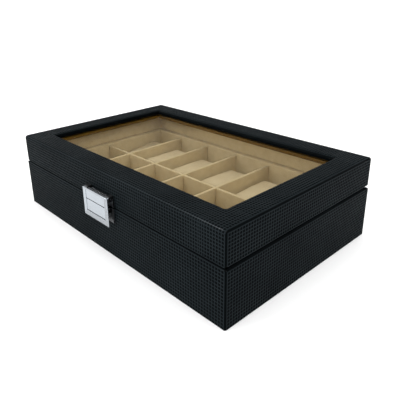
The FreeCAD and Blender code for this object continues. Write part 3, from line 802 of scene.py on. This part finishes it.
# The flap has a panel and a grooved frame on its face, and the barrel behind. The grooves and the barrel
# are painted dark, as shade.
PANEL = 15.2 * MM  # half width of the panel
GROOVED = 15.4 * MM  # half width of what the grooves cover
GROOVE_LOW, GROOVE_HIGH = 0.42 * MM, 0.70 * MM  # the grooves' floors lie between these behind the face
FACE_DEPTH = 0.1 * MM
BARREL = 1.4 * MM  # the barrel starts this far behind the face
flap_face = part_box("clasp_flap")[0].y


def in_groove(place, normal):
    return GROOVE_LOW < place.y - flap_face < GROOVE_HIGH and abs(place.x) < GROOVED


flap = softened("clasp_flap", 0.1 * MM, chrome, 2)
# The grooves are painted dark, as shade in them.
refinish(flap, groove_painted_shade, in_groove)
refinish(flap, chrome_panel, lambda place, _: place.y < flap_face + FACE_DEPTH and abs(place.x) < PANEL)
# The barrel is painted dark, as shade behind the flap.
refinish(flap, shaded_steel, lambda place, _: place.y > flap_face + BARREL)


# ---- Pillows ---------------------------------------------------------------------------------------


PILLOW_SWELL = 2.2 * MM  # the cloth starts this much smaller all round
PILLOW_MOVE = 2 * PILLOW_SWELL  # the most that a point of the cloth may move
PILLOW_BEVEL = 6 * MM
VOXEL = 3.4 * MM
SEAM_FROM_END = 2.6 * MM
SEAM_WIDTH = 0.7 * MM
SEAM_PULL = 0.035  # how much the seam draws the pillow in, as a part of its size
SWAY = 0.7 * MM  # how uneven the stuffing is
SWAY_SCALE = 55

# The first pillow at the back is tipped up, and stands a little higher than the others.
TIPPED = "pillow_back_1"
TIPPED_BACK = math.radians(6.5)
TIPPED_LEFT = math.radians(5)
TIPPED_PROUD = 1.2 * MM


def pillow_start(half):
    """A rounded block, as the pillow's cloth before it is filled."""
    bm = bmesh.new()
    block = [size - PILLOW_SWELL for size in half]
    bmesh.ops.create_cube(bm, size=2, matrix=Matrix.Diagonal((*block, 1)))
    lengthwise = [e for e in bm.edges if abs((e.verts[0].co - e.verts[1].co).x) > MM]
    bmesh.ops.bevel(bm, geom=lengthwise, offset=PILLOW_BEVEL, segments=6, profile=0.5, affect="EDGES")
    mesh = bpy.data.meshes.new("pillow_start")
    bm.to_mesh(mesh)
    bm.free()
    start = bpy.data.objects.new("pillow_start", mesh)
    scene.collection.objects.link(start)
    remesh = start.modifiers.new("remesh", "REMESH")
    remesh.mode = "VOXEL"
    remesh.voxel_size = VOXEL
    return start


def applied(obj):
    """The object's mesh with its modifiers applied."""
    graph = bpy.context.evaluated_depsgraph_get()
    mesh = bpy.data.meshes.new_from_object(obj.evaluated_get(graph))
    obj.modifiers.clear()
    obj.data = mesh
    return mesh


def filled(obj):
    """Blows the cloth up a little, so that it crowns."""
    cloth = obj.modifiers.new("cloth", "CLOTH")
    cloth.settings.quality = 6
    cloth.settings.mass = 0.15
    cloth.settings.tension_stiffness = 12
    cloth.settings.bending_stiffness = 0.3
    cloth.settings.use_pressure = True
    cloth.settings.uniform_pressure_force = 4
    cloth.settings.effector_weights.gravity = 0
    for frame_number in range(1, 21):
        scene.frame_set(frame_number)
    mesh = applied(obj)
    scene.frame_set(1)
    return mesh


def pillow_mesh(half):
    """One stuffed pillow about its own middle."""
    start = pillow_start(half)
    mesh = applied(start)
    rest = [vert.co.copy() for vert in mesh.vertices]
    mesh = filled(start)
    for vert, from_place in zip(mesh.vertices, rest):
        moved = vert.co - from_place
        if moved.length > PILLOW_MOVE:
            vert.co = from_place + moved * (PILLOW_MOVE / moved.length)
    smooth = start.modifiers.new("smooth", "SUBSURF")
    smooth.levels = 2
    mesh = applied(start)
    bpy.data.objects.remove(start)
    return mesh


def pillow(name, source, seed):
    """A pillow in its compartment, with its own tilt and unevenness and a seam sewn round each end."""
    low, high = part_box(name)
    middle, half = (low + high) / 2, (high - low) / 2
    pick = random.Random(seed)
    tilt = math.radians(pick.uniform(-2, 2))
    roll, proud = 0.0, 0.0
    if name == TIPPED:
        tilt, roll, proud = TIPPED_BACK, TIPPED_LEFT, TIPPED_PROUD
    offset = Vector((pick.uniform(0, 9), pick.uniform(0, 9), pick.uniform(0, 9)))
    room = half + Vector((0, 0, proud))
    mesh = source.copy()
    for vert in mesh.vertices:
        place = vert.co.copy()
        place += place.normalized() * noise.noise(place * SWAY_SCALE + offset) * SWAY
        from_seam = half.x - abs(place.x) - SEAM_FROM_END
        place.yz = place.yz * (1 - SEAM_PULL * math.exp(-((from_seam / SEAM_WIDTH) ** 2)))
        place.z += place.y * math.tan(tilt) - abs(half.y * math.tan(tilt)) + proud
        place.z -= place.x * math.tan(roll)
        for axis in range(3):
            place[axis] = min(max(place[axis], -half[axis]), room[axis])
        vert.co = place + middle
    mesh.materials.clear()
    mesh.materials.append(pillow_velvet)
    mesh.polygons.foreach_set("use_smooth", [True] * len(mesh.polygons))
    piece = bpy.data.objects.new(f"{name}_cover", mesh)
    scene.collection.objects.link(piece)
    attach(piece, name)
    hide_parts(name)


# Pillows of the same width start from the same filled cloth.
sources = {}
for row_number, row in enumerate(("front", "back")):
    for column in range(1, 7):
        name = f"pillow_{row}_{column}"
        low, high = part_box(name)
        width = round((high.x - low.x) / MM, 1)
        if width not in sources:
            sources[width] = pillow_mesh((high - low) / 2)
        pillow(name, sources[width], 10 * row_number + column)


# ---- Floor, light and camera -----------------------------------------------------------------------


def floor():
    """White paper that reaches the horizon and glows faintly, so that shadows on it stay pale."""
    mesh = bpy.data.meshes.new("floor")
    reach = 40
    corners = [(-reach, -reach, 0), (reach, -reach, 0), (reach, reach, 0), (-reach, reach, 0)]
    mesh.from_pydata(corners, [], [(0, 1, 2, 3)])
    plane = bpy.data.objects.new("floor", mesh)
    scene.collection.objects.link(plane)
    shader = Shader("floor_paper", Roughness=0.9, Specular_IOR_Level=0.1, Emission_Strength=0.06)
    shader.surface.inputs["Base Color"].default_value = (0.93, 0.93, 0.93, 1)
    mesh.materials.append(shader.material)


def world(horizon, above):
    """White all round, brighter towards the horizon, so that low views have a pale backdrop too."""
    made = bpy.data.worlds.new("studio")
    made.use_nodes = True
    tree = made.node_tree
    place = tree.nodes.new("ShaderNodeTexCoord")
    parts = tree.nodes.new("ShaderNodeSeparateXYZ")
    fade = tree.nodes.new("ShaderNodeMapRange")
    background = tree.nodes["Background"]
    background.inputs["Color"].default_value = (1, 1, 1, 1)
    low, high = 0.10, 0.30  # the fade starts and ends at these heights on a sphere of radius 1
    limits = {"From Min": low, "From Max": high, "To Min": horizon, "To Max": above}
    for socket, value in limits.items():
        fade.inputs[socket].default_value = value
    tree.links.new(place.outputs["Generated"], parts.inputs["Vector"])
    tree.links.new(parts.outputs["Z"], fade.inputs["Value"])
    tree.links.new(fade.outputs["Result"], background.inputs["Strength"])
    scene.world = made


def sun(name, source, energy, spread):
    """Light from the direction given, as wide as spread, in degrees."""
    data = bpy.data.lights.new(name, "SUN")
    data.energy = energy
    data.angle = math.radians(spread)
    made = bpy.data.objects.new(name, data)
    made.location = source
    made.rotation_euler = (-Vector(source)).to_track_quat("-Z", "Y").to_euler()
    scene.collection.objects.link(made)
    return made


def camera():
    """A view of the front and the right end, from above."""
    data = bpy.data.cameras.new("camera")
    data.lens = 41.24
    data.sensor_width = 36
    data.shift_x = 0.04
    data.shift_y = -0.10
    made = bpy.data.objects.new("camera", data)
    place = Vector((0.3299, -0.2963, 0.2298))
    aim = Vector((0.0171, -0.0136, 0.0726))
    roll = math.radians(-1.2)
    turn = (aim - place).to_track_quat("-Z", "Y").to_matrix().to_4x4()
    made.matrix_world = Matrix.Translation(place) @ turn @ Matrix.Rotation(roll, 4, "Z")
    scene.collection.objects.link(made)
    scene.camera = made


floor()
world(1.0, 0.66)
sun("key", (-0.45, -1.0, 0.08), 1.75, 12)
sun("top", (0.10, -0.20, 1.4), 2.8, 120)
sun("left", (-1.0, 0.15, 0.08), 1.0, 12)
sun("behind", (0.25, 1.0, 0.08), 0.9, 12)
glint = sun("glint", (-0.55, -0.50, 0.62), 9.0, 5)
glint.visible_diffuse = False  # it only shows as a highlight
scene.view_settings.view_transform = "Standard"
camera()
